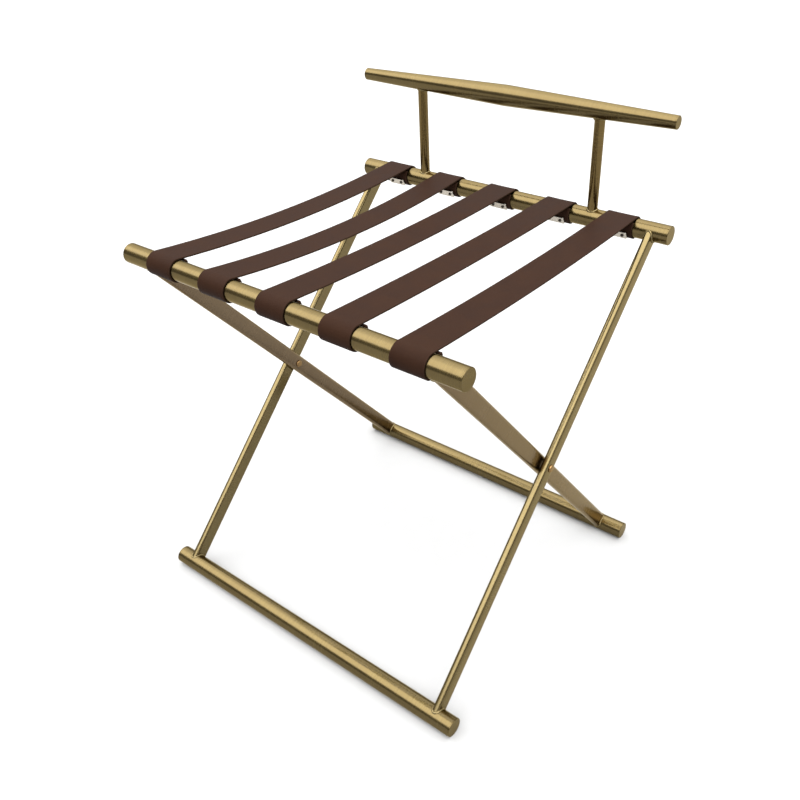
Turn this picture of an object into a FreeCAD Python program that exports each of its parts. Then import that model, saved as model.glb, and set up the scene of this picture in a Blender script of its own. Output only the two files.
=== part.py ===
"""Folding luggage rack: two tubular frames crossed on a pair of rivets, five straps and a back rail.

Millimetres, +Z up. The origin is on the floor under the middle of the rack, +X runs along the rails
to the right and +Y to the back, where the back rail stands. The rear frame carries the rear rail, the
back rail and the front floor bar; the front frame carries the front rail and the rear floor bar.
"""

import FreeCAD, Part
import math
import os

import Sketcher
from FreeCAD import Placement, Rotation, Vector

PARTS_FOLDER = "parts"
X_AXIS = Vector(1, 0, 0)
Y_AXIS = Vector(0, 1, 0)
Z_AXIS = Vector(0, 0, 1)
SIDES = {"left": -1, "right": 1}
FRONT = -1
REAR = 1
START = 1
END = 2
CENTRE = 3
TOLERANCE = 1e-4

DIMENSIONS = {
    # the tubes
    "rail_length": 500.0,
    "bar_length": 505.0,
    "back_length": 480.0,
    "tube_radius": 12.5,
    "tube_wall": 1.2,
    # where the four tubes lie
    "rail_height": 502.3,
    "rail_spread": 453.0,
    "bar_spread": 460.0,
    # the back rail, thickest in its middle, and its two posts
    "back_height": 643.4,
    "back_forward": 9.5,
    "back_middle_radius": 13.7,
    "back_end_radius": 8.3,
    "post_offset": 138.8,
    "post_radius": 6.8,
    "post_wall": 1.2,
    # the plugs that close the tubes
    "cap_thickness": 1.6,
    "cap_spigot": 8.0,
    "cap_chamfer": 0.5,
    # the crossed legs, of flat oval tube
    "leg_width": 23.0,
    "leg_thickness": 10.0,
    "leg_wall": 1.2,
    "leg_corner": 4.6,
    "outer_leg_offset": 225.0,
    "leg_gap": 1.6,
    # the pivots
    "rivet_radius": 3.0,
    "rivet_head_radius": 5.2,
    "rivet_head_height": 2.4,
    "rivet_head_round": 2.0,
    "washer_radius": 8.0,
    # the straps
    "strap_width": 43.5,
    "strap_pitch": 91.5,
    "strap_thickness": 2.2,
    "strap_sag_1": 11.0,
    "strap_sag_2": 13.5,
    "strap_sag_3": 6.0,
    "strap_sag_4": 3.7,
    "strap_sag_5": 5.0,
    # the plates that clamp the strap ends to the rails
    "clamp_angle": 31.0,
    "clamp_length": 28.0,
    "clamp_width": 11.0,
    "clamp_thickness": 1.2,
    "clamp_corner": 1.8,
    "screw_pitch": 16.0,
    "screw_radius": 1.5,
    "screw_head_radius": 2.2,
    "screw_head_height": 1.5,
    "screw_head_round": 0.9,
    "screw_reach": 2.5,
    "recess_length": 2.6,
    "recess_width": 0.7,
    "recess_depth": 0.8,
    # clearances
    "weld_gap": 0.05,
    "plug_gap": 0.05,
    "tight_gap": 0.02,
    "running_gap": 0.05,
    "washer_gap": 0.1,
    "soft_gap": 0.3,
    "screw_gap": 0.1,
    "strap_hole_gap": 0.5,
}
STRAPS = (1, 2, 3, 4, 5)
MIDDLE_STRAP = 3

doc = FreeCAD.newDocument("luggage_rack")
dims = doc.addObject("Spreadsheet::Sheet", "dims")
for row, (alias, number) in enumerate(DIMENSIONS.items(), start=1):
    dims.set(f"A{row}", alias)
    dims.set(f"B{row}", str(number))
    dims.setAlias(f"B{row}", alias)
doc.recompute()

# Sizes that follow from the driving ones, as expressions on the sheet
TUBE = "dims.tube_radius"
TUBE_BORE = "(dims.tube_radius - dims.tube_wall)"
HALF_RAIL_SPREAD = "(dims.rail_spread / 2)"
HALF_BAR_SPREAD = "(dims.bar_spread / 2)"
PIVOT_HEIGHT = (
    "(dims.tube_radius + (dims.rail_height - dims.tube_radius)"
    " * dims.bar_spread / (dims.bar_spread + dims.rail_spread))"
)
LEG_UP = f"sqrt({HALF_RAIL_SPREAD}^2 + (dims.rail_height - {PIVOT_HEIGHT})^2)"
LEG_DOWN = f"sqrt({HALF_BAR_SPREAD}^2 + ({PIVOT_HEIGHT} - dims.tube_radius)^2)"
LEG_LEAN = f"atan({HALF_RAIL_SPREAD} / (dims.rail_height - {PIVOT_HEIGHT}))"
INNER_LEG_OFFSET = "(dims.outer_leg_offset - dims.leg_thickness - dims.leg_gap)"
# a corner is rounded by no more than the thickness leaves room for
LEG_CORNER = "min(dims.leg_corner; 0.47 * dims.leg_thickness)"
BACK_RISE = "(dims.back_height - dims.rail_height)"
BACK_ALONG = f"({HALF_RAIL_SPREAD} - dims.back_forward)"
POST_LENGTH = f"sqrt(dims.back_forward^2 + {BACK_RISE}^2)"
POST_LEAN = f"atan(dims.back_forward / {BACK_RISE})"
WRAP_BORE = "(dims.tube_radius + dims.soft_gap)"
WRAP_RADIUS = f"({WRAP_BORE} + dims.strap_thickness)"
CLAMP_REACH = f"({WRAP_RADIUS} + dims.soft_gap + dims.clamp_thickness)"


def value(expression):
    """What an expression on the sheet comes to, as a plain number."""
    result = dims.evalExpression(expression)
    return float(getattr(result, "Value", result))


def place(piece, across="0", along="0", up="0", axis=X_AXIS, turn="0"):
    """Binds where a piece stands: X, Y and Z of its own origin, and its turn about one axis."""
    piece.Placement = Placement(Vector(), Rotation(axis, 1.0))
    piece.setExpression("Placement.Base.x", across)
    piece.setExpression("Placement.Base.y", along)
    piece.setExpression("Placement.Base.z", up)
    piece.setExpression("Placement.Rotation.Angle", turn)


def new_body(name):
    body = doc.addObject("PartDesign::Body", name)
    body.Label = name
    return body


def new_sketch(body, role, name):
    """An empty sketch on one of the body's own origin planes."""
    sketch = body.newObject("Sketcher::SketchObject", name)
    plane = next(item for item in body.Origin.OriginFeatures if item.Role == role)
    sketch.AttachmentSupport = [(plane, "")]
    sketch.MapMode = "FlatFace"
    return sketch


def bind(sketch, constraint, expression):
    index = sketch.addConstraint(constraint)
    sketch.setExpression(f"Constraints[{index}]", expression)


def pin(sketch, item, point, across, up):
    """Holds one point of a sketch at a place given by two expressions."""
    for kind, expression in (("DistanceX", across), ("DistanceY", up)):
        distance = value(expression)
        bind(sketch, Sketcher.Constraint(kind, -1, 1, item, point, distance), expression)


def add_circle(sketch, radius, across="0", up="0"):
    """A circle whose radius and centre are expressions on the sheet."""
    centre = Vector(value(across), value(up), 0)
    circle = sketch.addGeometry(Part.Circle(centre, Z_AXIS, value(radius)))
    bind(sketch, Sketcher.Constraint("Radius", circle, value(radius)), radius)
    pin(sketch, circle, CENTRE, across, up)
    return circle


def add_polygon(sketch, corners):
    """A closed outline of straight lines through corners given as pairs of expressions."""
    points = [Vector(value(across), value(up), 0) for across, up in corners]
    lines = []
    for start, end in zip(points, points[1:] + points[:1]):
        lines.append(sketch.addGeometry(Part.LineSegment(start, end)))
    for line, following in zip(lines, lines[1:] + lines[:1]):
        sketch.addConstraint(Sketcher.Constraint("Coincident", line, END, following, START))
    for line, (across, up) in zip(lines, corners):
        pin(sketch, line, START, across, up)


def add_rectangle(sketch, wide, high):
    """A rectangle centred on the sketch's own origin."""
    signs = ((-1, -1), (1, -1), (1, 1), (-1, 1))
    add_polygon(sketch, [(f"{x} * ({wide}) / 2", f"{y} * ({high}) / 2") for x, y in signs])


def add_cross(sketch, across):
    """The outline of a screw's cross recess, drawn round its centre from the end of its right arm."""
    tip = "dims.recess_length / 2"
    side = "dims.recess_width / 2"
    quarter = [(tip, f"-{side}"), (tip, side), (side, side)]
    corners = []
    for turn in range(4):
        for right, up in quarter:
            turned = [(right, up), (f"-({up})", right), (f"-({right})", f"-({up})"), (up, f"-({right})")][turn]
            corners.append((f"{across} + {turned[0]}", turned[1]))
    add_polygon(sketch, corners)


def add_pad(body, sketch, length, side="One side", other_length=None, reverse=False):
    pad = body.newObject("PartDesign::Pad", f"{sketch.Name}_pad")
    pad.Profile = sketch
    pad.SideType = side
    pad.Reversed = reverse
    pad.setExpression("Length", length)
    if other_length:
        pad.setExpression("Length2", other_length)
    return pad


def add_pocket(body, sketch, length, side="One side"):
    """Cuts the sketch's outline out of the body, and makes sure that it cut something."""
    doc.recompute()
    volume_before = body.Shape.Volume
    pocket = body.newObject("PartDesign::Pocket", f"{sketch.Name}_pocket")
    pocket.Profile = sketch
    pocket.SideType = side
    pocket.setExpression("Length", length)
    doc.recompute()
    if not body.Shape.Volume < volume_before:
        raise ValueError(f"{pocket.Name} cuts nothing")
    return pocket


def add_rounding(body, feature, kind, size, chosen):
    """A fillet or chamfer on the edges of a feature for which chosen(edge) is true."""
    doc.recompute()
    edges = [f"Edge{n}" for n, edge in enumerate(feature.Shape.Edges, start=1) if chosen(edge)]
    rounding = body.newObject(f"PartDesign::{kind}", f"{feature.Name}_{kind.lower()}")
    rounding.Base = (feature, edges)
    rounding.setExpression("Radius" if kind == "Fillet" else "Size", size)
    return rounding


def is_circle_at(radius, axis, distance):
    """Tests for a round edge of this radius, on a plane this far along the axis."""

    def test(edge):
        if not isinstance(edge.Curve, Part.Circle):
            return False
        same_radius = abs(edge.Curve.Radius - radius) < TOLERANCE
        return same_radius and abs(edge.Curve.Center.dot(axis) - distance) < TOLERANCE

    return test


def is_straight_along(axis):
    def test(edge):
        if not isinstance(edge.Curve, Part.Line):
            return False
        return abs(abs(edge.Curve.Direction.dot(axis)) - 1) < TOLERANCE

    return test


def is_upright_at(across, deep):
    """Tests for a straight edge along Z at a corner of a rectangle about the origin."""
    is_upright = is_straight_along(Z_AXIS)

    def test(edge):
        corner = edge.Vertexes[0].Point
        here = abs(abs(corner.x) - across) < TOLERANCE and abs(abs(corner.y) - deep) < TOLERANCE
        return here and is_upright(edge)

    return test


def strap_across(number):
    """How far a strap stands from the middle one."""
    return f"({number - MIDDLE_STRAP} * dims.strap_pitch)"


def clamp_turn(end):
    """The turn about X that points a piece's own -Z out through the clamps of one rail."""
    return f"{-end} * (90 - dims.clamp_angle)"


def add_screw_circles(sketch, radius, across="0"):
    for step in (-1, 1):
        add_circle(sketch, radius, f"{across} + {step} * dims.screw_pitch / 2")


def make_tube(name, length, radius, wall, screwed=False):
    """A round tube along X, cut short by its two end plugs, with a row of screw holes if straps fix to it."""
    body = new_body(name)
    ring = new_sketch(body, "YZ_Plane", f"{name}_ring")
    add_circle(ring, radius)
    add_circle(ring, f"{radius} - {wall}")
    add_pad(body, ring, f"{length} - 2 * dims.cap_thickness", "Symmetric")
    if screwed:
        holes = new_sketch(body, "XY_Plane", f"{name}_holes")
        for number in STRAPS:
            across = strap_across(number)
            add_screw_circles(holes, "dims.screw_radius + dims.tight_gap", across)
        add_pocket(body, holes, f"2 * {radius}")
    return body


def make_cap(name, radius, bore):
    """A plug for a tube's end: a chamfered disc, flush with the tube, on a spigot inside it."""
    body = new_body(name)
    disc = new_sketch(body, "YZ_Plane", f"{name}_disc")
    add_circle(disc, radius)
    disc_pad = add_pad(body, disc, "dims.cap_thickness")
    spigot = new_sketch(body, "YZ_Plane", f"{name}_spigot")
    add_circle(spigot, f"{bore} - dims.plug_gap")
    add_pad(body, spigot, "dims.cap_spigot", reverse=True)
    doc.recompute()
    rim = is_circle_at(value(radius), X_AXIS, value("dims.cap_thickness"))
    add_rounding(body, body.Tip, "Chamfer", "dims.cap_chamfer", rim)
    return body


def make_plugged_tube(name, length, radius, bore, along, up, turn, tube):
    """Places a tube on its axis and closes both of its ends."""
    place(tube, along=along, up=up, turn=turn)
    pieces = {name: tube}
    for side, sign in SIDES.items():
        cap = make_cap(f"{name}_cap_{side}", radius, bore)
        across = f"{sign} * ({length} / 2 - dims.cap_thickness)"
        place(cap, across, along, up, Z_AXIS, "0" if sign > 0 else "180")
        pieces[cap.Label] = cap
    return pieces


def make_back_rail():
    """A hollow spindle along X: a straight taper from its middle to each end."""
    body = new_body("back_rail")
    outline = new_sketch(body, "XZ_Plane", "back_rail_outline")
    half = "(dims.back_length / 2 - dims.cap_thickness)"
    outer_end = "dims.back_end_radius"
    outer_middle = "dims.back_middle_radius"
    corners = [
        (f"-{half}", f"{outer_end} - dims.tube_wall"),
        ("0", f"{outer_middle} - dims.tube_wall"),
        (half, f"{outer_end} - dims.tube_wall"),
        (half, outer_end),
        ("0", outer_middle),
        (f"-{half}", outer_end),
    ]
    add_polygon(outline, corners)
    turned = body.newObject("PartDesign::Revolution", "back_rail_turned")
    turned.Profile = outline
    turned.ReferenceAxis = (outline, ["H_Axis"])
    turned.Angle = 360.0
    return body


def make_solid(kind, name, **settings):
    """A Part primitive whose sizes are expressions on the sheet."""
    solid = doc.addObject(f"Part::{kind}", name)
    for setting, expression in settings.items():
        solid.setExpression(setting, expression)
    return solid


def cut(name, base, tool):
    result = doc.addObject("Part::Cut", name)
    result.Base = base
    result.Tool = tool
    return result


def make_post(side, sign):
    """A slim tube from the rear rail up to the back rail, coped to sit on both."""
    name = f"post_{side}"
    across = f"{sign} * dims.post_offset"
    stance = dict(along=HALF_RAIL_SPREAD, up="dims.rail_height", turn=POST_LEAN)
    outside = make_solid("Cylinder", f"{name}_outside", Radius="dims.post_radius", Height=POST_LENGTH)
    inside_radius = "dims.post_radius - dims.post_wall"
    inside = make_solid("Cylinder", f"{name}_inside", Radius=inside_radius, Height=POST_LENGTH)
    place(outside, across, **stance)
    place(inside, across, **stance)
    rail_radius = "dims.tube_radius + dims.weld_gap"
    rail = make_solid("Cylinder", f"{name}_rail", Radius=rail_radius, Height="dims.rail_length")
    place(rail, "-dims.rail_length / 2", HALF_RAIL_SPREAD, "dims.rail_height", Y_AXIS, "90")
    spindle = make_solid(
        "Cone",
        f"{name}_spindle",
        Radius1="dims.back_middle_radius + dims.weld_gap",
        Radius2="dims.back_end_radius + dims.weld_gap",
        Height="dims.back_length / 2 - dims.cap_thickness",
    )
    place(spindle, "0", BACK_ALONG, "dims.back_height", Y_AXIS, f"{sign} * 90")
    tube = cut(f"{name}_tube", outside, inside)
    seated = cut(f"{name}_seated", tube, rail)
    return cut(name, seated, spindle)


def make_leg(name, offset, turn, bore_gap):
    """A flat tube through the pivot, coped at both ends to sit on a rail and a floor bar.

    Its own origin is on the pivot, with Z along the tube and X across its thickness.
    """
    body = new_body(name)
    section = new_sketch(body, "XY_Plane", f"{name}_section")
    add_rectangle(section, "dims.leg_thickness", "dims.leg_width")
    add_pad(body, section, LEG_UP, "Two sides", LEG_DOWN)
    hollow = new_sketch(body, "XY_Plane", f"{name}_hollow")
    wall = "2 * dims.leg_wall"
    add_rectangle(hollow, f"dims.leg_thickness - {wall}", f"dims.leg_width - {wall}")
    bore = add_pocket(body, hollow, f"2 * {LEG_UP}", "Symmetric")
    across, deep = value("dims.leg_thickness / 2"), value("dims.leg_width / 2")
    thin = value("dims.leg_wall")
    inner_corners = is_upright_at(across - thin, deep - thin)
    rounded = add_rounding(body, bore, "Fillet", f"{LEG_CORNER} - dims.leg_wall", inner_corners)
    add_rounding(body, rounded, "Fillet", LEG_CORNER, is_upright_at(across, deep))
    ends = new_sketch(body, "YZ_Plane", f"{name}_ends")
    add_circle(ends, "dims.tube_radius + dims.weld_gap", "0", LEG_UP)
    add_circle(ends, "dims.tube_radius + dims.weld_gap", "0", f"-{LEG_DOWN}")
    add_circle(ends, f"dims.rivet_radius + {bore_gap}")
    add_pocket(body, ends, "2 * dims.leg_thickness", "Symmetric")
    place(body, offset, "0", PIVOT_HEIGHT, X_AXIS, turn)
    return body


def make_rivet(name, sign):
    """A shank through both legs with a domed head on each side. Its own +X points outwards."""
    body = new_body(name)
    grip = "(2 * dims.leg_thickness + dims.leg_gap + dims.running_gap)"
    shank = new_sketch(body, "YZ_Plane", f"{name}_shank")
    add_circle(shank, "dims.rivet_radius")
    add_pad(body, shank, grip, "Symmetric")
    for place_name, direction in (("outer", 1), ("inner", -1)):
        head = new_sketch(body, "YZ_Plane", f"{name}_{place_name}_head")
        seat = f"{direction} * {grip} / 2"
        head.setExpression("AttachmentOffset.Base.z", seat)
        add_circle(head, "dims.rivet_head_radius")
        add_pad(body, head, "dims.rivet_head_height", reverse=direction < 0)
        doc.recompute()
        top = value(seat) + direction * value("dims.rivet_head_height")
        rim = is_circle_at(value("dims.rivet_head_radius"), X_AXIS, top)
        add_rounding(body, body.Tip, "Fillet", "dims.rivet_head_round", rim)
    middle = "(dims.outer_leg_offset - (dims.leg_thickness + dims.leg_gap) / 2)"
    place(body, f"{sign} * {middle}", "0", PIVOT_HEIGHT)
    return body


def make_washer(name, sign):
    """The spacer between two crossing legs."""
    body = new_body(name)
    ring = new_sketch(body, "YZ_Plane", f"{name}_ring")
    add_circle(ring, "dims.washer_radius")
    add_circle(ring, "dims.rivet_radius + dims.running_gap")
    add_pad(body, ring, "dims.leg_gap - 2 * dims.washer_gap", "Symmetric")
    middle = "(dims.outer_leg_offset - (dims.leg_thickness + dims.leg_gap) / 2)"
    place(body, f"{sign} * {middle}", "0", PIVOT_HEIGHT)
    return body


def make_strap(number):
    """One strip wrapped round both rails, its run between them a shallow arc tangent to both wraps."""
    name = f"strap_{number}"
    sag = f"dims.strap_sag_{number}"
    slope = f"2 * atan(2 * {sag} / dims.rail_spread)"
    reach = f"(dims.rail_spread / (2 * sin({slope})))"
    top_radius = f"({reach} - {WRAP_RADIUS})"
    under_radius = f"({top_radius} + dims.strap_thickness)"
    middle = Vector(0, value("dims.rail_height") + value(reach) * value(f"cos({slope})"), 0)
    slope_angle = math.radians(value(slope))
    wrap = value(WRAP_RADIUS)
    under = value(under_radius)
    # where the wrap's outside meets the underside of the run, seen from the rail's axis
    cosine = (wrap**2 + value(reach) ** 2 - under**2) / (2 * wrap * value(reach))
    tuck_angle = slope_angle + math.acos(cosine)

    body = new_body(name)
    outline = new_sketch(body, "YZ_Plane", f"{name}_outline")
    wraps = {}
    tangent_points = {}
    tuck_points = {}
    for end in (FRONT, REAR):
        centre = Vector(end * value(HALF_RAIL_SPREAD), value("dims.rail_height"), 0)
        leaving = math.pi / 2 + end * slope_angle
        tucking = math.pi / 2 + end * tuck_angle
        circle = Part.Circle(centre, Z_AXIS, wrap)
        first, last = (leaving, tucking) if end == FRONT else (tucking, leaving)
        wraps[end] = outline.addGeometry(Part.ArcOfCircle(circle, first, last + 2 * math.pi))
        tangent_points[end] = circle.value(leaving)
        tuck_points[end] = circle.value(tucking)
    runs = []
    for radius, points in ((value(top_radius), tangent_points), (under, tuck_points)):
        angles = [math.atan2((points[end] - middle).y, (points[end] - middle).x) for end in (FRONT, REAR)]
        circle = Part.Circle(middle, Z_AXIS, radius)
        runs.append(outline.addGeometry(Part.ArcOfCircle(circle, *angles)))
    top, underside = runs
    for end in (FRONT, REAR):
        leaving_point, tucking_point = (START, END) if end == FRONT else (END, START)
        run_point = START if end == FRONT else END
        across = f"{end} * {HALF_RAIL_SPREAD}"
        bind(outline, Sketcher.Constraint("Radius", wraps[end], wrap), WRAP_RADIUS)
        pin(outline, wraps[end], CENTRE, across, "dims.rail_height")
        outline.addConstraint(Sketcher.Constraint("Tangent", wraps[end], leaving_point, top, run_point))
        outline.addConstraint(
            Sketcher.Constraint("Coincident", wraps[end], tucking_point, underside, run_point)
        )
        add_circle(outline, WRAP_BORE, across, "dims.rail_height")
    outline.addConstraint(Sketcher.Constraint("Coincident", top, CENTRE, underside, CENTRE))
    bind(outline, Sketcher.Constraint("Radius", top, value(top_radius)), top_radius)
    bind(outline, Sketcher.Constraint("Radius", underside, under), under_radius)
    add_pad(body, outline, "dims.strap_width", "Symmetric")

    for end in (FRONT, REAR):
        holes = new_sketch(body, "XY_Plane", f"{name}_holes_{'front' if end == FRONT else 'rear'}")
        holes.AttachmentOffset = Placement(Vector(), Rotation(X_AXIS, 1.0))
        holes.setExpression("AttachmentOffset.Base.y", f"{end} * {HALF_RAIL_SPREAD}")
        holes.setExpression("AttachmentOffset.Base.z", "dims.rail_height")
        holes.setExpression("AttachmentOffset.Rotation.Angle", clamp_turn(end))
        add_screw_circles(holes, "dims.screw_radius + dims.strap_hole_gap")
        add_pocket(body, holes, f"{WRAP_RADIUS} + dims.strap_thickness")
    place(body, strap_across(number))
    return body


def place_on_clamp(piece, number, end):
    """Stands a piece on the outer face of a clamp plate, with its own +Z into the rail."""
    along = f"{end} * ({HALF_RAIL_SPREAD} - {CLAMP_REACH} * cos(dims.clamp_angle))"
    up = f"dims.rail_height - {CLAMP_REACH} * sin(dims.clamp_angle)"
    place(piece, strap_across(number), along, up, X_AXIS, clamp_turn(end))


def make_clamp(name, number, end):
    """The small plate that holds a strap's wrapped end on its rail."""
    body = new_body(name)
    plate = new_sketch(body, "XY_Plane", f"{name}_plate")
    add_rectangle(plate, "dims.clamp_length", "dims.clamp_width")
    add_screw_circles(plate, "dims.screw_radius + dims.screw_gap")
    pad = add_pad(body, plate, "dims.clamp_thickness")
    add_rounding(body, pad, "Fillet", "dims.clamp_corner", is_straight_along(Z_AXIS))
    place_on_clamp(body, number, end)
    return body


def make_screws(name, number, end):
    """The two screws of one clamp plate, through the strap and into the rail's wall."""
    body = new_body(name)
    heads = new_sketch(body, "XY_Plane", f"{name}_heads")
    add_screw_circles(heads, "dims.screw_head_radius")
    pad = add_pad(body, heads, "dims.screw_head_height", reverse=True)
    doc.recompute()
    crown = is_circle_at(value("dims.screw_head_radius"), Z_AXIS, -value("dims.screw_head_height"))
    add_rounding(body, pad, "Fillet", "dims.screw_head_round", crown)
    recesses = new_sketch(body, "XY_Plane", f"{name}_recesses")
    recesses.setExpression("AttachmentOffset.Base.z", "dims.recess_depth - dims.screw_head_height")
    for step in (-1, 1):
        add_cross(recesses, f"{step} * dims.screw_pitch / 2")
    add_pocket(body, recesses, "2 * dims.recess_depth")
    shanks = new_sketch(body, "XY_Plane", f"{name}_shanks")
    add_screw_circles(shanks, "dims.screw_radius")
    add_pad(body, shanks, f"{CLAMP_REACH} - {TUBE_BORE} + dims.screw_reach")
    place_on_clamp(body, number, end)
    return body


def make_rack():
    """Every piece of the rack, by the name of its node."""
    pieces = {}
    for end, rail_name, bar_name in ((FRONT, "front_rail", "front_bar"), (REAR, "rear_rail", "rear_bar")):
        rail = make_tube(rail_name, "dims.rail_length", TUBE, "dims.tube_wall", screwed=True)
        rail_along = f"{end} * {HALF_RAIL_SPREAD}"
        turn = clamp_turn(end)
        pieces.update(
            make_plugged_tube(
                rail_name, "dims.rail_length", TUBE, TUBE_BORE, rail_along, "dims.rail_height", turn, rail
            )
        )
        bar = make_tube(bar_name, "dims.bar_length", TUBE, "dims.tube_wall")
        bar_along = f"{end} * {HALF_BAR_SPREAD}"
        pieces.update(
            make_plugged_tube(bar_name, "dims.bar_length", TUBE, TUBE_BORE, bar_along, TUBE, "0", bar)
        )
    back_radius = "dims.back_end_radius"
    back_bore = f"{back_radius} - dims.tube_wall - dims.plug_gap"
    pieces.update(
        make_plugged_tube(
            "back_rail",
            "dims.back_length",
            back_radius,
            back_bore,
            BACK_ALONG,
            "dims.back_height",
            "0",
            make_back_rail(),
        )
    )
    for side, sign in SIDES.items():
        post = make_post(side, sign)
        outer_leg = make_leg(
            f"outer_leg_{side}", f"{sign} * dims.outer_leg_offset", f"-{LEG_LEAN}", "dims.tight_gap"
        )
        inner_leg = make_leg(
            f"inner_leg_{side}", f"{sign} * {INNER_LEG_OFFSET}", LEG_LEAN, "dims.running_gap"
        )
        rivet = make_rivet(f"pivot_rivet_{side}", sign)
        washer = make_washer(f"pivot_washer_{side}", sign)
        for piece in (post, outer_leg, inner_leg, rivet, washer):
            pieces[piece.Label] = piece
    for number in STRAPS:
        strap = make_strap(number)
        pieces[strap.Label] = strap
        for end, end_name in ((FRONT, "front"), (REAR, "rear")):
            clamp = make_clamp(f"{end_name}_clamp_{number}", number, end)
            screws = make_screws(f"{end_name}_screws_{number}", number, end)
            pieces[clamp.Label] = clamp
            pieces[screws.Label] = screws
    return pieces


def check(pieces):
    """Stops the build if any feature failed or any piece has no sound shape."""
    for item in doc.Objects:
        if "Invalid" in item.State or "Error" in item.State:
            raise ValueError(f"{item.Name} failed: {item.State}")
    for name, piece in pieces.items():
        if piece.Shape.isNull() or not piece.Shape.isValid():
            raise ValueError(f"{name} has no sound shape")
        solids = 2 if "screws" in name else 1
        if len(piece.Shape.Solids) != solids:
            raise ValueError(f"{name} has {len(piece.Shape.Solids)} solids, not {solids}")


rack = make_rack()
doc.recompute()
check(rack)
os.makedirs(PARTS_FOLDER, exist_ok=True)
for node, piece in rack.items():
    piece.Shape.exportStep(f"{PARTS_FOLDER}/{node}.step")
box = FreeCAD.BoundBox()
for piece in rack.values():
    box.add(piece.Shape.BoundBox)
print(f"{len(rack)} pieces, {box.XLength:.1f} x {box.YLength:.1f} x {box.ZLength:.1f} mm")
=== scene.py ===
# %% [markdown]
# # A folding luggage rack
#
# Two frames of brushed gold tube cross on a pair of rivets, and five leather straps run between
# their top rails. The plates, screws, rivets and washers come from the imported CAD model, which
# is loaded here as a fixed frame. Blender builds the tubes, legs, posts and straps again on the
# CAD's places, with finer curves, and adds the weld beads and the finish of every surface.

# %% Load the frame
import math
import random

import bmesh
import bpy
from mathutils import Matrix, Vector


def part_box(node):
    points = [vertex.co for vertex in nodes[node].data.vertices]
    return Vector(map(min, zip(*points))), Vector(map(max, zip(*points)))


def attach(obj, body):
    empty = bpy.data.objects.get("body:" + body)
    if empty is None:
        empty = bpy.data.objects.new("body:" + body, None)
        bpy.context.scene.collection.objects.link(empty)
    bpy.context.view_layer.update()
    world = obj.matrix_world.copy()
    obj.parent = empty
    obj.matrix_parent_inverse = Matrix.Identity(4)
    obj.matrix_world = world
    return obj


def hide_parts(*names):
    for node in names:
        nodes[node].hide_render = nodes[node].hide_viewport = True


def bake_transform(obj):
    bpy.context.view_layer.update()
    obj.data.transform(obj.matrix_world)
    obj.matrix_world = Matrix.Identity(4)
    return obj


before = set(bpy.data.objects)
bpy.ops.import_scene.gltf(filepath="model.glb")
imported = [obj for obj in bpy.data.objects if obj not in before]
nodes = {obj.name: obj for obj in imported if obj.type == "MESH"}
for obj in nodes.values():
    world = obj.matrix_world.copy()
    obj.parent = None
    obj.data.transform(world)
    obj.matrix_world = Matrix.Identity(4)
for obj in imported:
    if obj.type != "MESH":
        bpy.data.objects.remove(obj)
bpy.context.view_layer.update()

# %% [markdown]
# Every length below is in metres, so a millimetre gets a name. The rails' axes and radius are
# read from the CAD boxes: whatever is added then sits on the real tubes, even if they change.

# %% Measure the rails
MM = 0.001
TURN = 2 * math.pi


def tube_axis(node):
    """The middle of a tube that lies along X, and its radius."""
    low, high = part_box(node)
    middle = (low + high) / 2
    return Vector((0, middle.y, middle.z)), (high.y - low.y) / 2


FRONT_RAIL, TUBE_RADIUS = tube_axis("front_rail")
REAR_RAIL = tube_axis("rear_rail")[0]
FRONT_BAR = tube_axis("front_bar")[0]
REAR_BAR = tube_axis("rear_bar")[0]
BACK_RAIL, BACK_MIDDLE_RADIUS = tube_axis("back_rail")
BACK_END_RADIUS = tube_axis("back_rail_cap_left")[1]
print("rails at", FRONT_RAIL, REAR_RAIL, "radius, mm:", round(TUBE_RADIUS / MM, 2))

# %% [markdown]
# The camera looks down on the rack from its right front corner. It is set up before anything
# else, so that each later step can be judged in the same view. The lens is a plain 38 mm one and
# nothing is blurred.

# %% Set up the camera
CAMERA_PLACE = Vector((0.6144, -0.7854, 0.8968))
CAMERA_HEADING = math.radians(38.54)
CAMERA_TILT = math.radians(32.03)
CAMERA_ROLL = math.radians(-0.44)
CAMERA_LENS = 38.01
CAMERA_SENSOR = 36
CAMERA_NEAREST = 0.01

scene = bpy.context.scene
camera = bpy.data.objects.new("camera", bpy.data.cameras.new("camera"))
scene.collection.objects.link(camera)
aim = Matrix.Rotation(CAMERA_HEADING, 4, "Z") @ Matrix.Rotation(math.pi / 2 - CAMERA_TILT, 4, "X")
camera.matrix_world = Matrix.Translation(CAMERA_PLACE) @ aim @ Matrix.Rotation(CAMERA_ROLL, 4, "Z")
camera.data.lens = CAMERA_LENS
camera.data.sensor_width = CAMERA_SENSOR
camera.data.clip_start = CAMERA_NEAREST
scene.camera = camera
print("camera at", tuple(round(x, 3) for x in CAMERA_PLACE))

# %% [markdown]
# Shader maths reads best as ordinary sums, so a small class wraps one output socket and turns
# `a * b + 1` into Math nodes.


# %% Write shader maths as expressions
class Wire:
    """One output socket of a material's nodes, for use in sums."""

    def __init__(self, board, socket):
        self.board = board
        self.socket = socket

    def maths(self, operation, first, second=0.0, clamp=False):
        settings = {"operation": operation, "use_clamp": clamp}
        return self.board.node("ShaderNodeMath", settings, {0: first, 1: second})

    def __add__(self, other):
        return self.maths("ADD", self, other)

    def __radd__(self, other):
        return self.maths("ADD", other, self)

    def __sub__(self, other):
        return self.maths("SUBTRACT", self, other)

    def __rsub__(self, other):
        return self.maths("SUBTRACT", other, self)

    def __mul__(self, other):
        return self.maths("MULTIPLY", self, other)

    def __rmul__(self, other):
        return self.maths("MULTIPLY", other, self)

    def clamped(self):
        return self.maths("ADD", self, 0.0, clamp=True)


print("made the class", Wire.__name__)

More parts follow.
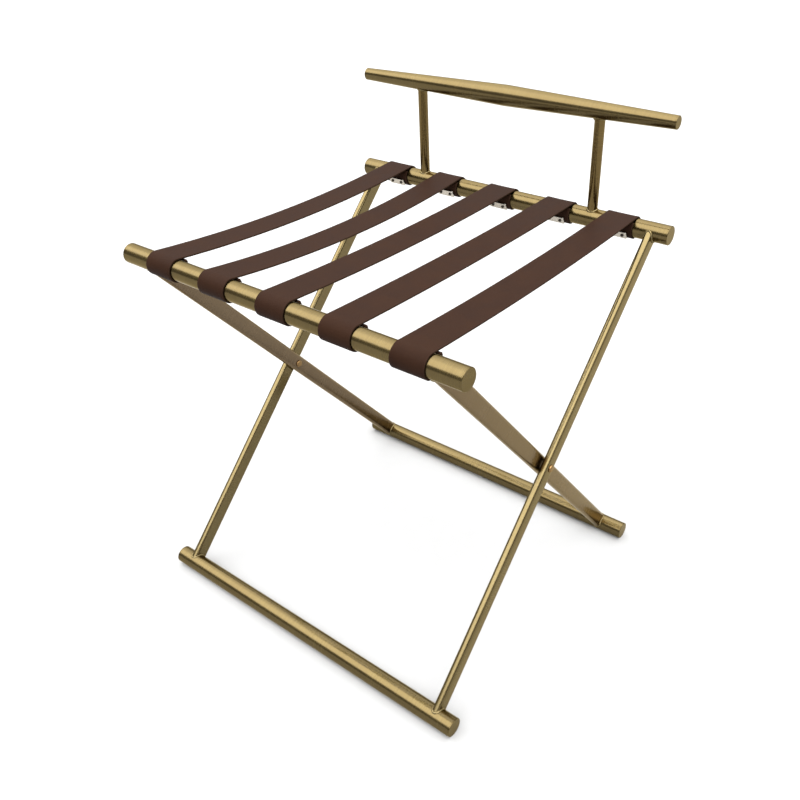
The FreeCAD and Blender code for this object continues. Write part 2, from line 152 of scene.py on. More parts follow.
# %% [markdown]
# A material is a board of nodes. This second class holds one, and makes any node from its type,
# its settings and what goes into its sockets, so that each finish below is a few lines.


# %% Hold a material's nodes
class Board:
    """A material and its nodes."""

    def __init__(self, name):
        self.material = bpy.data.materials.new(name)
        self.material.use_nodes = True
        self.tree = self.material.node_tree
        self.tree.nodes.clear()

    def node(self, kind, settings=None, sockets=None, output=0):
        """A new node: its settings are set first, then its sockets get values or links."""
        made = self.tree.nodes.new(kind)
        for name, setting in (settings or {}).items():
            setattr(made, name, setting)
        for name, given in (sockets or {}).items():
            if isinstance(given, Wire):
                self.tree.links.new(given.socket, made.inputs[name])
            else:
                made.inputs[name].default_value = given
        return Wire(self, made.outputs[output]) if made.outputs else None

    def place(self):
        """Where a point is on its own object, which moves with it."""
        return self.node("ShaderNodeTexCoord", output="Object")

    def noise(self, vector, scale, detail=2.0, roughness=0.5):
        sockets = {"Vector": vector, "Scale": scale, "Detail": detail, "Roughness": roughness}
        return self.node("ShaderNodeTexNoise", sockets=sockets)

    def mix(self, factor, low, high):
        """A colour between two colours."""
        low, high = (c if isinstance(c, Wire) else (*c, 1.0) for c in (low, high))
        sockets = {"Factor": factor, 6: low, 7: high}
        return self.node("ShaderNodeMix", {"data_type": "RGBA"}, sockets, 2)

    def vector_maths(self, operation, first, second, output=0):
        settings = {"operation": operation}
        return self.node("ShaderNodeVectorMath", settings, {0: first, 1: second}, output)

    def scaled(self, vector, factor):
        sockets = {0: vector, "Scale": factor}
        return self.node("ShaderNodeVectorMath", {"operation": "SCALE"}, sockets)

    def bump(self, height, distance, strength=1.0):
        sockets = {"Height": height, "Distance": distance, "Strength": strength}
        return self.node("ShaderNodeBump", sockets=sockets)

    def finish(self, **sockets):
        """Ends the board in a Principled shader, whose sockets are given with _ for a space."""
        named = {name.replace("_", " "): given for name, given in sockets.items()}
        shader = self.node("ShaderNodeBsdfPrincipled", sockets=named)
        self.node("ShaderNodeOutputMaterial", sockets={"Surface": shader})
        return self.material


print("made the class", Board.__name__)

# %% [markdown]
# The tubes are steel, plated in an antique gold and brushed by a belt that runs round them, so
# the fine lines go round each tube and the noise that draws them changes fast along the tube and
# slowly across it. Each direction of tube gets its own material, made by one function.


# %% Make the brushed gold
GOLD_LIGHT = (0.124, 0.092, 0.035)
GOLD_DEEP = (0.078, 0.053, 0.017)
LACQUER = 0.26
GOLD_GLANCE = (0.80, 0.69, 0.48, 1.0)
GOLD_TONE_SIZE = 0.035
LACQUER_ROUGHNESS = 0.12
BRUSH_PITCH = 0.35 * MM
BRUSH_LENGTH = 14 * MM
BRUSH_DEPTH = 0.02 * MM
BAND_SCALE = 0.13
GRAIN_TONE, BAND_TONE, PATCH_TONE = 0.9, 0.5, 0.5
GRAIN_GLOSS, PATCH_GLOSS = 0.16, 0.12
GRAIN_HEIGHT, BAND_HEIGHT = 0.7, 0.3


def make_brushed(name, axis, light, deep, roughness=0.25):
    """Brushed plating on a tube that runs along axis, between a light and a deep colour."""
    board = Board(name)
    place = board.place()
    along = board.vector_maths("DOT_PRODUCT", place, axis, "Value")
    stretch = 1 / BRUSH_PITCH - 1 / BRUSH_LENGTH
    fast = board.scaled(Vector(axis), along * stretch)
    grain_place = board.vector_maths("ADD", board.scaled(place, 1 / BRUSH_LENGTH), fast)
    grain = board.noise(grain_place, 1.0, 3.0, 0.6)
    bands = board.noise(board.scaled(grain_place, BAND_SCALE), 1.0, 2.0)
    tone = board.noise(place, 1 / GOLD_TONE_SIZE, 2.0)
    mix = 0.5 + (grain - 0.5) * GRAIN_TONE + (bands - 0.5) * BAND_TONE + (tone - 0.5) * PATCH_TONE
    colour = board.mix(mix.clamped(), deep, light)
    rough = (roughness + (grain - 0.5) * GRAIN_GLOSS + (tone - 0.5) * PATCH_GLOSS).clamped()
    normal = board.bump(grain * GRAIN_HEIGHT + bands * BAND_HEIGHT, BRUSH_DEPTH)
    return board.finish(
        Base_Color=colour,
        Metallic=1.0,
        Roughness=rough,
        Coat_Weight=LACQUER,
        Coat_Roughness=LACQUER_ROUGHNESS,
        Specular_Tint=GOLD_GLANCE,
        Normal=normal,
    )


print("brush lines every", BRUSH_PITCH / MM, "mm, and", BRUSH_LENGTH / MM, "mm long")

# %% [markdown]
# The legs get lighter copies of the same gold as the round tubes. This is painted light, for the
# bright band that the light lays along them. The inner pair's copy is also redder, as a painted
# pinkish reflection. So each kind of tube has its own pair of colours. The weld beads get a
# lighter pair than the tubes.


# %% Give each kind of tube its gold
def lean_of(low_axis, high_axis):
    """The direction of a leg between two tubes."""
    return (high_axis - low_axis).normalized()


OUTER_LEG_AXIS = lean_of(FRONT_BAR, REAR_RAIL)
INNER_LEG_AXIS = lean_of(REAR_BAR, FRONT_RAIL)
# Painted light: the leg colours are lighter copies of the tube gold, and the inner pair's redder
# tone is a painted reflection.
OUTER_LEG_LIGHT = (0.160, 0.122, 0.052)
OUTER_LEG_DEEP = (0.104, 0.076, 0.028)
INNER_LEG_LIGHT = (0.158, 0.112, 0.066)
INNER_LEG_DEEP = (0.104, 0.071, 0.038)
POST_LIGHT = (0.142, 0.096, 0.030)
POST_DEEP = (0.094, 0.060, 0.016)
WELD_LIGHT = (0.25, 0.20, 0.095)
WELD_DEEP = (0.080, 0.056, 0.020)
WELD_ROUGHNESS = 0.28
ACROSS, UPRIGHT = (1, 0, 0), (0, 0, 1)
gold_tube = make_brushed("gold_tube", ACROSS, GOLD_LIGHT, GOLD_DEEP)
gold_outer_leg_painted_light = make_brushed("gold_outer_leg_painted_light", OUTER_LEG_AXIS, OUTER_LEG_LIGHT, OUTER_LEG_DEEP)
gold_inner_leg_painted_light = make_brushed("gold_inner_leg_painted_light", INNER_LEG_AXIS, INNER_LEG_LIGHT, INNER_LEG_DEEP)
gold_post = make_brushed("gold_post", UPRIGHT, POST_LIGHT, POST_DEEP)
gold_weld = make_brushed("gold_weld", UPRIGHT, WELD_LIGHT, WELD_DEEP, WELD_ROUGHNESS)
print("brushed golds:", [m.name for m in (gold_tube, gold_outer_leg_painted_light, gold_inner_leg_painted_light, gold_post)])

# %% [markdown]
# The straps are split leather with a dark brown satin coat. Its grain is a field of small
# pebbles with finer pores between them, so a cell pattern and a noise share the bump.


# %% Make the leather
LEATHER_LIGHT = (0.0235, 0.0108, 0.0060)
LEATHER_DARK = (0.0150, 0.0070, 0.0046)
LEATHER_EDGE = (0.0230, 0.0120, 0.0075)
LEATHER_SHINE = 0.02
LEATHER_ROUGHNESS = 0.5
LEATHER_EDGE_ROUGHNESS = 0.55
PEBBLE = 0.9 * MM
PORE = 0.35 * MM
CLOUD = 28 * MM
GRAIN_DEPTH = 0.12 * MM
CLOUD_TONE, CELL_TONE = 1.2, 0.35
CLOUD_GLOSS, CELL_GLOSS = 0.18, 0.12
PORE_HEIGHT, CELL_HEIGHT = 0.35, 0.65


def make_leather(name, light, dark, roughness):
    """Grained leather, clouded between a light and a dark colour."""
    board = Board(name)
    place = board.place()
    cells = board.node(
        "ShaderNodeTexVoronoi",
        {"feature": "SMOOTH_F1"},
        {"Vector": place, "Scale": 1 / PEBBLE, "Smoothness": 0.35},
        "Distance",
    )
    pores = board.noise(place, 1 / PORE, 3.0)
    cloud = board.noise(place, 1 / CLOUD, 4.0, 0.6)
    mix = cloud * CLOUD_TONE - 0.1 + (0.45 - cells) * CELL_TONE
    colour = board.mix(mix.clamped(), dark, light)
    rough = (roughness + (cloud - 0.5) * CLOUD_GLOSS + (cells - 0.4) * CELL_GLOSS).clamped()
    normal = board.bump(pores * PORE_HEIGHT - cells * CELL_HEIGHT, GRAIN_DEPTH, 0.8)
    return board.finish(
        Base_Color=colour, Roughness=rough, Specular_IOR_Level=LEATHER_SHINE, Normal=normal
    )


leather = make_leather("strap_leather_face", LEATHER_LIGHT, LEATHER_DARK, LEATHER_ROUGHNESS)
leather_edge = make_leather(
    "strap_leather_edge", LEATHER_EDGE, LEATHER_EDGE, LEATHER_EDGE_ROUGHNESS
)
print("leathers:", leather.name, leather_edge.name)

# %% [markdown]
# The small metal has finishes of its own: satin nickel clamp plates, blackened screws, bright
# rivets and a dark spacer washer.

# %% Make the small metal's finishes
NICKEL_LIGHT, NICKEL_DEEP = (0.62, 0.58, 0.52), (0.42, 0.39, 0.34)
BLACK_LIGHT, BLACK_DEEP = (0.06, 0.05, 0.045), (0.02, 0.018, 0.016)
RIVET_LIGHT, RIVET_DEEP = (0.30, 0.18, 0.070), (0.12, 0.072, 0.026)
NYLON_LIGHT, NYLON_DARK = (0.050, 0.036, 0.022), (0.030, 0.022, 0.014)
nickel = make_brushed("clamp_nickel_satin", ACROSS, NICKEL_LIGHT, NICKEL_DEEP, 0.3)
blackened = make_brushed("screw_blackened", UPRIGHT, BLACK_LIGHT, BLACK_DEEP, 0.35)
rivet_gold = make_brushed("rivet_gold", UPRIGHT, RIVET_LIGHT, RIVET_DEEP, 0.22)
nylon = make_leather("washer_nylon", NYLON_LIGHT, NYLON_DARK, 0.45)
print("small finishes:", [m.name for m in (nickel, blackened, rivet_gold, nylon)])

# %% [markdown]
# A node's name says what it is, so one table sends each CAD node to its finish.

# %% Give every CAD node its finish
FINISH_BY_WORD = {
    "outer_leg": gold_outer_leg_painted_light,
    "inner_leg": gold_inner_leg_painted_light,
    "post": gold_post,
    "clamp": nickel,
    "screws": blackened,
    "rivet": rivet_gold,
    "washer": nylon,
    "strap": leather,
}
for name, node in nodes.items():
    finish = next((m for word, m in FINISH_BY_WORD.items() if word in name), gold_tube)
    node.data.materials.clear()
    node.data.materials.append(finish)
print(len(nodes), "CAD nodes finished")

# %% [markdown]
# Every tube, leg, post and weld bead is a skin of four-sided faces between rings of points,
# closed at its ends where it is solid. One function joins the rings, and another makes the skin a
# piece: smooth, but with a crisp corner wherever two faces meet at more than 30 degrees, and
# carried by one of the two frames.

# %% Join rings into a piece
CRISP = math.radians(30)


def finish_piece(name, mesh, material, body, slot, *stands_for):
    """Turns a bmesh into a smooth piece that rides on a body."""
    bmesh.ops.recalc_face_normals(mesh, faces=mesh.faces)
    for face in mesh.faces:
        face.smooth = True
    data = bpy.data.meshes.new(name)
    mesh.to_mesh(data)
    mesh.free()
    data.set_sharp_from_angle(angle=CRISP)
    data.materials.append(material)
    piece = bpy.data.objects.new(name, data)
    scene.collection.objects.link(piece)
    if stands_for:
        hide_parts(*stands_for)
    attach(piece, body)
    return piece


def join_rings(mesh, rings, closed):
    """Quads between neighbouring rings of points; closed joins the last ring to the first."""
    made = [[mesh.verts.new(point) for point in ring] for ring in rings]
    following = made[1:] + made[:1] if closed else made[1:]
    for ring, after in zip(made, following):
        count = len(ring)
        for k in range(count):
            mesh.faces.new((ring[k], ring[(k + 1) % count], after[(k + 1) % count], after[k]))
    return made


print("corners stay crisp above, degrees:", round(math.degrees(CRISP)))

# %% [markdown]
# The round tubes are turned as on a lathe: a profile of (along, radius) corners goes round the
# tube's axis. A plated tube shows every facet of a coarse one, so it gets 96 fine steps.

# %% Draw the profiles of a tube and its plug
ROUND_STEPS = 96
TUBE_WALL = 1.2 * MM
TUBE_EDGE = 0.2 * MM
PLUG_THICKNESS = 1.6 * MM
PLUG_SPIGOT = 8.0 * MM
PLUG_CHAMFER = 0.5 * MM
PLUG_GAP = 0.05 * MM


def turn_profile(profile, axis, closed):
    """A bmesh of a profile of (x, radius) corners turned about a line along X."""
    mesh = bmesh.new()
    rings = []
    for along, radius in profile:
        turns = (TURN * k / ROUND_STEPS for k in range(ROUND_STEPS))
        sides = ((radius * math.cos(a), radius * math.sin(a)) for a in turns)
        rings.append([axis + Vector((along, y, z)) for y, z in sides])
    made = join_rings(mesh, rings, closed)
    if not closed:
        mesh.faces.new(made[0])
        mesh.faces.new(made[-1])
    return mesh


def tube_profile(half, end_radius, middle_radius):
    """The closed outline of a tube's wall, with its outer corners just broken."""
    inside_end = end_radius - TUBE_WALL
    return [
        (-half, inside_end),
        (-half, end_radius - TUBE_EDGE),
        (-half + TUBE_EDGE, end_radius),
        (0, middle_radius),
        (half - TUBE_EDGE, end_radius),
        (half, end_radius - TUBE_EDGE),
        (half, inside_end),
        (0, middle_radius - TUBE_WALL),
    ]


def plug_profile(sign, inner, radius):
    """A plug's outline from its spigot's end to its chamfered face, on one side of the rack."""
    outline = [
        (-PLUG_SPIGOT, radius - TUBE_WALL - PLUG_GAP),
        (0, radius - TUBE_WALL - PLUG_GAP),
        (0, radius),
        (PLUG_THICKNESS - PLUG_CHAMFER, radius),
        (PLUG_THICKNESS, radius - PLUG_CHAMFER),
    ]
    return [(sign * (inner + along), r) for along, r in outline]


plug_outline = plug_profile(1, 0, TUBE_RADIUS)
print("plug profile, mm:", [(round(x / MM, 2), round(r / MM, 2)) for x, r in plug_outline])

# %% [markdown]
# Five tubes are turned: two rails, two floor bars and the back rail, which swells to its middle.
# Each stands for its CAD node, and so does each of its two plugs.

# %% Turn the tubes and their plugs
TUBES = {
    "front_rail": (FRONT_RAIL, TUBE_RADIUS, TUBE_RADIUS, "front_frame"),
    "rear_rail": (REAR_RAIL, TUBE_RADIUS, TUBE_RADIUS, "rear_frame"),
    "front_bar": (FRONT_BAR, TUBE_RADIUS, TUBE_RADIUS, "rear_frame"),
    "rear_bar": (REAR_BAR, TUBE_RADIUS, TUBE_RADIUS, "front_frame"),
    "back_rail": (BACK_RAIL, BACK_END_RADIUS, BACK_MIDDLE_RADIUS, "rear_frame"),
}
for name, (axis, end_radius, middle_radius, body) in TUBES.items():
    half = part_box(name)[1].x
    tube = turn_profile(tube_profile(half, end_radius, middle_radius), axis, True)
    finish_piece(f"{name}_tube", tube, gold_tube, body, "frame_gold", name)
    for side, sign in (("right", 1), ("left", -1)):
        plug = turn_profile(plug_profile(sign, half, end_radius), axis, False)
        node = f"{name}_cap_{side}"
        finish_piece(f"{node}_plug", plug, gold_tube, body, "frame_gold", node)
print(len(TUBES), "tubes turned, with", 2 * len(TUBES), "plugs")

# %% [markdown]
# A leg is a flat tube with rounded corners and a post is a round one. Their outlines are lists of
# points, and the weld beads will follow the same outlines with more points on the flats.

# %% Outline the legs and posts
LEG_WIDTH = 23.0 * MM
LEG_CORNER = 4.6 * MM
CORNER_STEPS = 12
POST_STEPS = 64


def oval_outline(depth, width, corner):
    """(across, wide) round a rounded rectangle."""
    outline = []
    corners = ((1, 1, 0), (-1, 1, 1), (-1, -1, 2), (1, -1, 3))
    for sign_x, sign_w, quarter in corners:
        middle_x = sign_x * (depth / 2 - corner)
        middle_w = sign_w * (width / 2 - corner)
        for k in range(CORNER_STEPS + 1):
            angle = (quarter + k / CORNER_STEPS) * math.pi / 2
            cos, sin = math.cos(angle), math.sin(angle)
            outline.append((middle_x + corner * cos, middle_w + corner * sin))
    return outline


def fill_gaps(outline, spacing):
    """The same outline with points added wherever two are further apart than spacing."""
    filled = []
    for here, after in zip(outline, outline[1:] + outline[:1]):
        gap = math.hypot(after[0] - here[0], after[1] - here[1])
        count = max(1, round(gap / spacing))
        for k in range(count):
            filled.append(tuple(a + (b - a) * k / count for a, b in zip(here, after)))
    return filled


def round_outline(radius):
    turns = [TURN * k / POST_STEPS for k in range(POST_STEPS)]
    return [(radius * math.cos(a), radius * math.sin(a)) for a in turns]


print("points round a leg:", 4 * (CORNER_STEPS + 1), "and round a post:", POST_STEPS)

# %% [markdown]
# Legs and posts lie in planes across the rack, and each end is coped: every line along the tube
# stops where it meets the round tube it is welded to. So one function finds that distance, and a
# class stretches an outline between two of them. The ends go in by a hair, so that no gap shows.

# %% Cope a tube between two others
COPE_DEPTH = 0.3 * MM


def meeting(point, direction, axis, radius, far):
    """How far from a point a line in a YZ plane meets a tube: on its near or its far side."""
    gap = Vector((0, point.y - axis.y, point.z - axis.z))
    along = gap.dot(direction)
    reach = math.sqrt(max(0.0, radius**2 - gap.length_squared + along**2))
    return -along + (reach if far else -reach)


class Strut:
    """A tube between two round ones, in a plane across the rack."""

    def __init__(self, across, low_axis, high_axis, low_radius, high_radius):
        self.foot = Vector((across, low_axis.y, low_axis.z))
        self.direction = (high_axis - low_axis).normalized()
        self.wide = Vector((1, 0, 0)).cross(self.direction)
        self.ends = ((low_axis, low_radius, True), (high_axis, high_radius, False))

    def ring(self, outline, end, deeper=0.0):
        """The outline where it meets the tube at one end, 0 for low and 1 for high."""
        axis, radius_at, far = self.ends[end]
        points = []
        for x, w in outline:
            start = self.foot + Vector((x, 0, 0)) + self.wide * w
            radius = radius_at(start.x) - deeper
            reach = meeting(start, self.direction, axis, radius, far)
            points.append(start + self.direction * reach)
        return points

    def build(self, outline):
        mesh = bmesh.new()
        rings = [self.ring(outline, end, COPE_DEPTH) for end in (0, 1)]
        for ring in join_rings(mesh, rings, False):
            mesh.faces.new(ring)
        return mesh


def tube_radius_at(_):
    return TUBE_RADIUS


def back_radius_at(x):
    """The back rail tapers evenly from its middle to each end."""
    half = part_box("back_rail")[1].x
    return BACK_MIDDLE_RADIUS + (BACK_END_RADIUS - BACK_MIDDLE_RADIUS) * abs(x) / half


print("back rail radius, mm:", [round(back_radius_at(x) / MM, 2) for x in (0.0, 0.1, 0.2)])

# %% [markdown]
# Four legs and two posts are stretched in place. Where each stands across the rack, and how
# thick it is, is read from its CAD box.

# %% Stretch the legs and posts between their tubes
struts = {}
for side in ("left", "right"):
    for kind, low_axis, high_axis, finish, body in (
        ("outer_leg", FRONT_BAR, REAR_RAIL, gold_outer_leg_painted_light, "rear_frame"),
        ("inner_leg", REAR_BAR, FRONT_RAIL, gold_inner_leg_painted_light, "front_frame"),
        ("post", REAR_RAIL, BACK_RAIL, gold_post, "rear_frame"),
    ):
        node = f"{kind}_{side}"
        low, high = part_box(node)
        thickness = high.x - low.x
        high_radius = back_radius_at if kind == "post" else tube_radius_at
        strut = Strut((low.x + high.x) / 2, low_axis, high_axis, tube_radius_at, high_radius)
        if kind == "post":
            outline = round_outline(thickness / 2)
        else:
            outline = oval_outline(thickness, LEG_WIDTH, LEG_CORNER)
        finish_piece(f"{node}_tube", strut.build(outline), finish, body, "frame_gold", node)
        struts[node] = (strut, outline, body)
print(len(struts), "legs and posts")

# %% [markdown]
# Each joint has a small weld bead all round it, left as the torch laid it: a thin roll of metal
# with uneven ripples. It follows the coped outline, and lies in the corner between the two tubes.

# %% Lay the weld beads
BEAD_RADIUS = 1.25 * MM
BEAD_SPACING = 0.45 * MM
BEAD_RIPPLE = 2.1 * MM
BEAD_SIDES = 10
BEAD_WOBBLE = (0.7, 1.3)
RIPPLE_DEPTH = 0.12
random.seed(7)


def lay_bead(strut, outline, end):
    """A bmesh of a rippled roll round one end of a strut."""
    points = strut.ring(outline, end)
    axis = strut.ends[end][0]
    count = len(points)
    length = sum((b - a).length for a, b in zip(points, points[1:] + points[:1]))
    ripples = round(length / BEAD_RIPPLE)
    wobble = [random.uniform(*BEAD_WOBBLE) for _ in range(ripples)]
    rings = []
    for k, point in enumerate(points):
        place = k / count * ripples
        this, share = int(place), place - int(place)
        size = wobble[this] + (wobble[(this + 1) % ripples] - wobble[this]) * share
        radius = BEAD_RADIUS * size * (1 + RIPPLE_DEPTH * math.sin(TURN * place))
        along = (points[(k + 1) % count] - points[k - 1]).normalized()
        outward = Vector((0, point.y - axis.y, point.z - axis.z)).normalized()
        side = along.cross(outward).normalized()
        turns = (TURN * j / BEAD_SIDES for j in range(BEAD_SIDES))
        rims = (math.cos(a) * side + math.sin(a) * outward for a in turns)
        rings.append([point + radius * rim for rim in rims])
    mesh = bmesh.new()
    join_rings(mesh, rings, True)
    return mesh


for node, (strut, outline, body) in struts.items():
    for end, end_name in enumerate(("low", "high")):
        bead = lay_bead(strut, fill_gaps(outline, BEAD_SPACING), end)
        finish_piece(f"{node}_{end_name}_weld", bead, gold_weld, body, "frame_gold")
print(2 * len(struts), "weld beads")

# %% [markdown]
# Each strap is one strip. Its end lies against the inner side of a rail, goes down and round
# under it, up the outside and over the top, and then runs to the other rail, where it does the
# same. The path is made of exact arcs: a wrap round each rail and a shallow sag between, tangent
# to both. Straps fitted by hand lie a little askew, so each has its own sag, and its own small
# drift to the side at the front rail and at the rear one.

# %% Lay out a strap's path
STRAP_DRIFTS = {
    1: (1.6 * MM, -3.3 * MM),
    2: (2.0 * MM, -2.8 * MM),
    3: (3.2 * MM, -2.7 * MM),
    4: (4.2 * MM, -1.4 * MM),
    5: (4.9 * MM, -1.2 * MM),
}
STRAP_SAGS = {1: 11.0 * MM, 2: 13.5 * MM, 3: 6.0 * MM, 4: 3.7 * MM, 5: 5.0 * MM}
STRAP_THICKNESS = 2.1 * MM
STRAP_WIDTH = 42.0 * MM
STRAP_SLACK = 0.05 * MM
WRAP_RADIUS = TUBE_RADIUS + STRAP_SLACK + STRAP_THICKNESS / 2
TAIL_ANGLE = math.radians(47)
TAIL_SKEW = 2.8 * MM
TAIL_LIFT = 1.2 * MM
TAIL_FADE = math.radians(110)
WRAP_STEP = math.radians(5)
RUN_STEP = 6 * MM


def arc(centre, radius, start, end, step):
    """Points and outward normals on an arc in the YZ plane; angles are from +Z towards +Y."""
    count = max(2, math.ceil(abs(end - start) / step))
    for k in range(count + 1):
        angle = start + (end - start) * k / count
        normal = Vector((0, math.sin(angle), math.cos(angle)))
        yield centre + radius * normal, normal


def strap_path(sag, drift):
    """(point, normal) along a strap's middle layer, from the front tail to the rear tail.

    The front tail was folded under a little askew, so it also steps to the right and lifts off.
    """
    span = REAR_RAIL.y - FRONT_RAIL.y
    slope = 2 * math.atan(2 * sag / span)
    run_radius = span / (2 * math.sin(slope)) - WRAP_RADIUS
    rise = Vector((0, 0, (run_radius + WRAP_RADIUS) * math.cos(slope)))
    run_centre = (FRONT_RAIL + REAR_RAIL) / 2 + rise
    front = list(arc(FRONT_RAIL, WRAP_RADIUS, TAIL_ANGLE, slope + TURN, WRAP_STEP))
    tail = round(TAIL_FADE / WRAP_STEP)
    for k in range(tail):
        share = (1 - k / tail) ** 1.5
        front[k][0].x += TAIL_SKEW * share
        front[k][0].xyz += front[k][1] * TAIL_LIFT * share**3
    run_step = RUN_STEP / run_radius
    sagging = arc(run_centre, run_radius, math.pi + slope, math.pi - slope, run_step)
    run = [(point, -normal) for point, normal in sagging]
    rear = list(arc(REAR_RAIL, WRAP_RADIUS, -slope - TURN, -TAIL_ANGLE, WRAP_STEP))
    path = front + run[1:-1] + rear
    for point, _ in path:
        along = min(1.0, max(0.0, (point.y - FRONT_RAIL.y) / span))
        point.x += drift[0] + (drift[1] - drift[0]) * along
    return path


paths = {number: strap_path(sag, STRAP_DRIFTS[number]) for number, sag in STRAP_SAGS.items()}
for number, path in paths.items():
    points = [p for p, _ in path]
    length = sum((b - a).length for a, b in zip(points, points[1:]))
    print("strap", number, "flat length, mm:", round(length / MM, 1))

# %% [markdown]
# A strap's section is a flat band with softly rounded edges. Its points also say which of them
# lie on a cut edge, because the edge shows bare leather and has a colour of its own.

# %% Draw a strap's section
EDGE_ROUND = 0.5 * MM
FACE_COLUMNS = 10
EDGE_STEPS = 3


def band_section(width, thickness):
    """(across, up, is_edge) round a flat band's rounded outline."""
    inner_half = width / 2 - EDGE_ROUND
    inner_up = thickness / 2 - EDGE_ROUND
    outline = []
    for side, corner_ups in ((1, (1, -1)), (-1, (-1, 1))):
        for quarter, up_sign in enumerate(corner_ups):
            for k in range(EDGE_STEPS + 1):
                turn = (quarter + k / EDGE_STEPS) * math.pi / 2
                across = side * (inner_half + EDGE_ROUND * math.sin(turn))
                up = side * (inner_up * (1 - 2 * quarter) + EDGE_ROUND * math.cos(turn))
                outline.append((across, up, True))
        for k in range(1, FACE_COLUMNS):
            across = side * inner_half * (1 - 2 * k / FACE_COLUMNS)
            outline.append((across, -side * thickness / 2, False))
    return outline


print("points in the section:", len(band_section(STRAP_WIDTH, STRAP_THICKNESS)))

# %% [markdown]
# The section is swept along the path as rings of points, which keeps the strip's width and
# thickness even. Between the rails the middle is cupped by half a millimetre at most, as leather
# that has carried cases is.

# %% Sweep a section along a path
CUPPING = 0.5 * MM
CUP_LEVEL = 0.3
FLAT_ENOUGH = 0.9


def sweep_strap(name, across_middle, width, path):
    """A closed strip along the path, with its faces and its cut edges in two materials."""
    section = band_section(width, STRAP_THICKNESS)
    mesh = bmesh.new()
    rings = []
    for point, normal in path:
        share = max(0.0, 1 - abs(point.y) / FRONT_RAIL.length) if normal.z > FLAT_ENOUGH else 0.0
        ring = []
        for across, up, _ in section:
            cup = CUPPING * share * ((2 * across / width) ** 2 - CUP_LEVEL)
            place = point + normal * (up + cup) + Vector((across_middle + across, 0, 0))
            ring.append(mesh.verts.new(place))
        rings.append(ring)
    count = len(section)
    for ring, following in zip(rings, rings[1:]):
        for k in range(count):
            after = (k + 1) % count
            face = mesh.faces.new((ring[k], ring[after], following[after], following[k]))
            face.smooth = True
            face.material_index = int(section[k][2] and section[after][2])
    for ring in (rings[0], list(reversed(rings[-1]))):
        end = mesh.faces.new(ring)
        end.material_index = 1
    bmesh.ops.recalc_face_normals(mesh, faces=mesh.faces)
    data = bpy.data.meshes.new(name)
    mesh.to_mesh(data)
    mesh.free()
    data.materials.append(leather)
    data.materials.append(leather_edge)
    strap = bpy.data.objects.new(name, data)
    scene.collection.objects.link(strap)
    return strap


print("cupping, mm:", CUPPING / MM)

# %% [markdown]
# The five straps are made alike. Each stands for its CAD strap and lies on both rails.

# %% Make the five straps
straps = {}
for number, path in paths.items():
    low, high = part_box(f"strap_{number}")
    strap = sweep_strap(f"strap_{number}_leather", (low.x + high.x) / 2, STRAP_WIDTH, path)
    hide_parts(f"strap_{number}")
    straps[number] = strap
print(len(straps), "straps swept")

# %% [markdown]
# Each strap's transform is baked into its mesh.

# %% Bake the straps' transforms
BLEND_MARGIN = TUBE_RADIUS + 2 * STRAP_THICKNESS
for strap in straps.values():
    end = REAR_RAIL - Vector((0, BLEND_MARGIN, 0))
    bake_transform(strap)
print(len(straps), "straps follow the fold")

# %% [markdown]
# The rack stands on a plain pale floor, wide enough to reach past the horizon of any view. A
# faint speckle keeps it from being one flat number.

# %% Lay the floor
FLOOR_REACH = 60.0
FLOOR_SHADE = 0.30
FLOOR_SPECKLE = 0.01
floor_mesh = bpy.data.meshes.new("floor")
corners = [(FLOOR_REACH * x, FLOOR_REACH * y, 0) for x, y in ((-1, -1), (1, -1), (1, 1), (-1, 1))]
floor_mesh.from_pydata(corners, [], [(0, 1, 2, 3)])
floor = bpy.data.objects.new("floor", floor_mesh)
scene.collection.objects.link(floor)
paint = Board("floor_paint")
speckle = paint.noise(paint.place(), 40.0)
shades = [(shade,) * 3 for shade in (FLOOR_SHADE, FLOOR_SHADE + FLOOR_SPECKLE)]
floor.data.materials.append(paint.finish(Base_Color=paint.mix(speckle, *shades), Roughness=0.9))
print("floor shade:", FLOOR_SHADE)

# %% [markdown]
# The light is a bright ceiling over a darker room: in front its edge is sharp, which draws the
# long highlight on every tube, and behind it fades towards the horizon. The camera itself sees a
# plain pale backdrop instead. The sky works on the direction of each ray, so two small functions
# make its ranges and mixes.

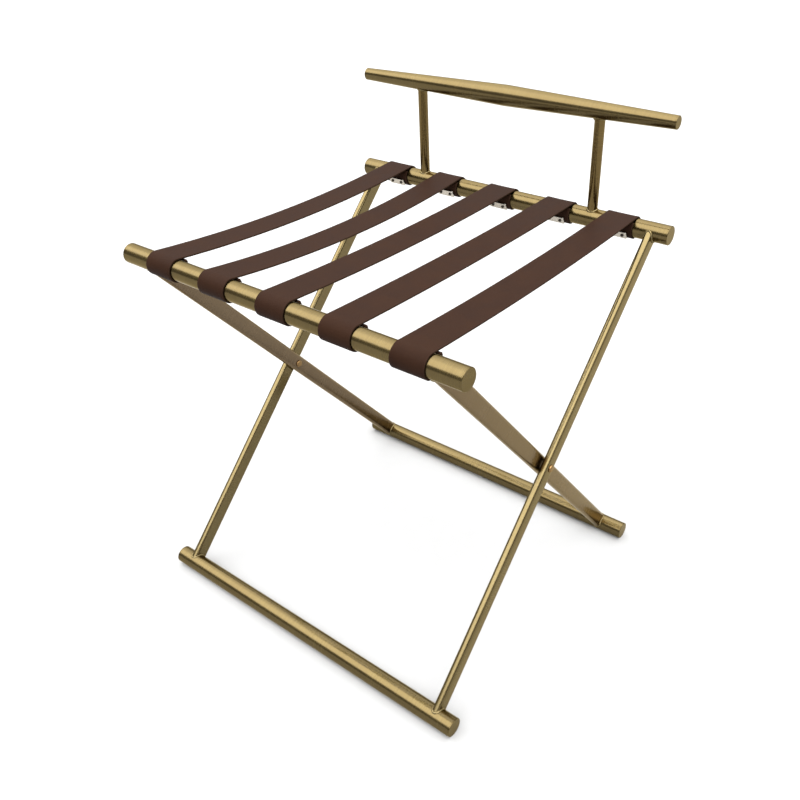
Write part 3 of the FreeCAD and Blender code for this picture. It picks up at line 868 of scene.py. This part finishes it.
# %% Light the studio
CEILING_GLOW = 5.8
ROOM_GLOW = 0.40
BACKDROP_GLOW = 1.0
FRONT_EDGE = math.sin(math.radians(28))
FRONT_SOFTNESS = 0.03
BACK_FADE = (0.15, 1.10)
TURN_TO_BACK = (-0.15, 0.25)

world = bpy.data.worlds.new("studio")
world.use_nodes = True
scene.world = world
sky = world.node_tree
direction = sky.nodes.new("ShaderNodeTexCoord")
split = sky.nodes.new("ShaderNodeSeparateXYZ")


def sky_range(value, low, high, smooth=True):
    """0 to 1 as a value of the direction goes from low to high."""
    made = sky.nodes.new("ShaderNodeMapRange")
    made.interpolation_type = "SMOOTHSTEP" if smooth else "LINEAR"
    made.inputs["From Min"].default_value = low
    made.inputs["From Max"].default_value = high
    sky.links.new(value, made.inputs["Value"])
    return made.outputs[0]


def sky_between(share, low, high):
    """low where share is 0 and high where it is 1; each is a number or an output."""
    made = sky.nodes.new("ShaderNodeMix")
    sky.links.new(share, made.inputs["Factor"])
    for index, given in ((2, low), (3, high)):
        if isinstance(given, bpy.types.NodeSocket):
            sky.links.new(given, made.inputs[index])
        else:
            made.inputs[index].default_value = given
    return made.outputs[0]


sky.links.new(direction.outputs["Generated"], split.inputs[0])
front_range = (FRONT_EDGE - FRONT_SOFTNESS, FRONT_EDGE + FRONT_SOFTNESS)
front_light = sky_range(split.outputs["Z"], *front_range)
back_light = sky_range(split.outputs["Z"], *BACK_FADE, smooth=False)
behind = sky_range(split.outputs["Y"], *TURN_TO_BACK)
glow = sky_between(sky_between(behind, front_light, back_light), ROOM_GLOW, CEILING_GLOW)
seen = sky.nodes.new("ShaderNodeLightPath").outputs["Is Camera Ray"]
sky.links.new(sky_between(seen, glow, BACKDROP_GLOW), sky.nodes["Background"].inputs["Strength"])
sky.nodes["Background"].inputs["Color"].default_value = (1, 1, 1, 1)
scene.view_settings.view_transform = "Standard"
print("sky nodes:", len(sky.nodes))

# %% [markdown]
# The last step brings the scene up to date.

# %% Finish
bpy.context.view_layer.update()
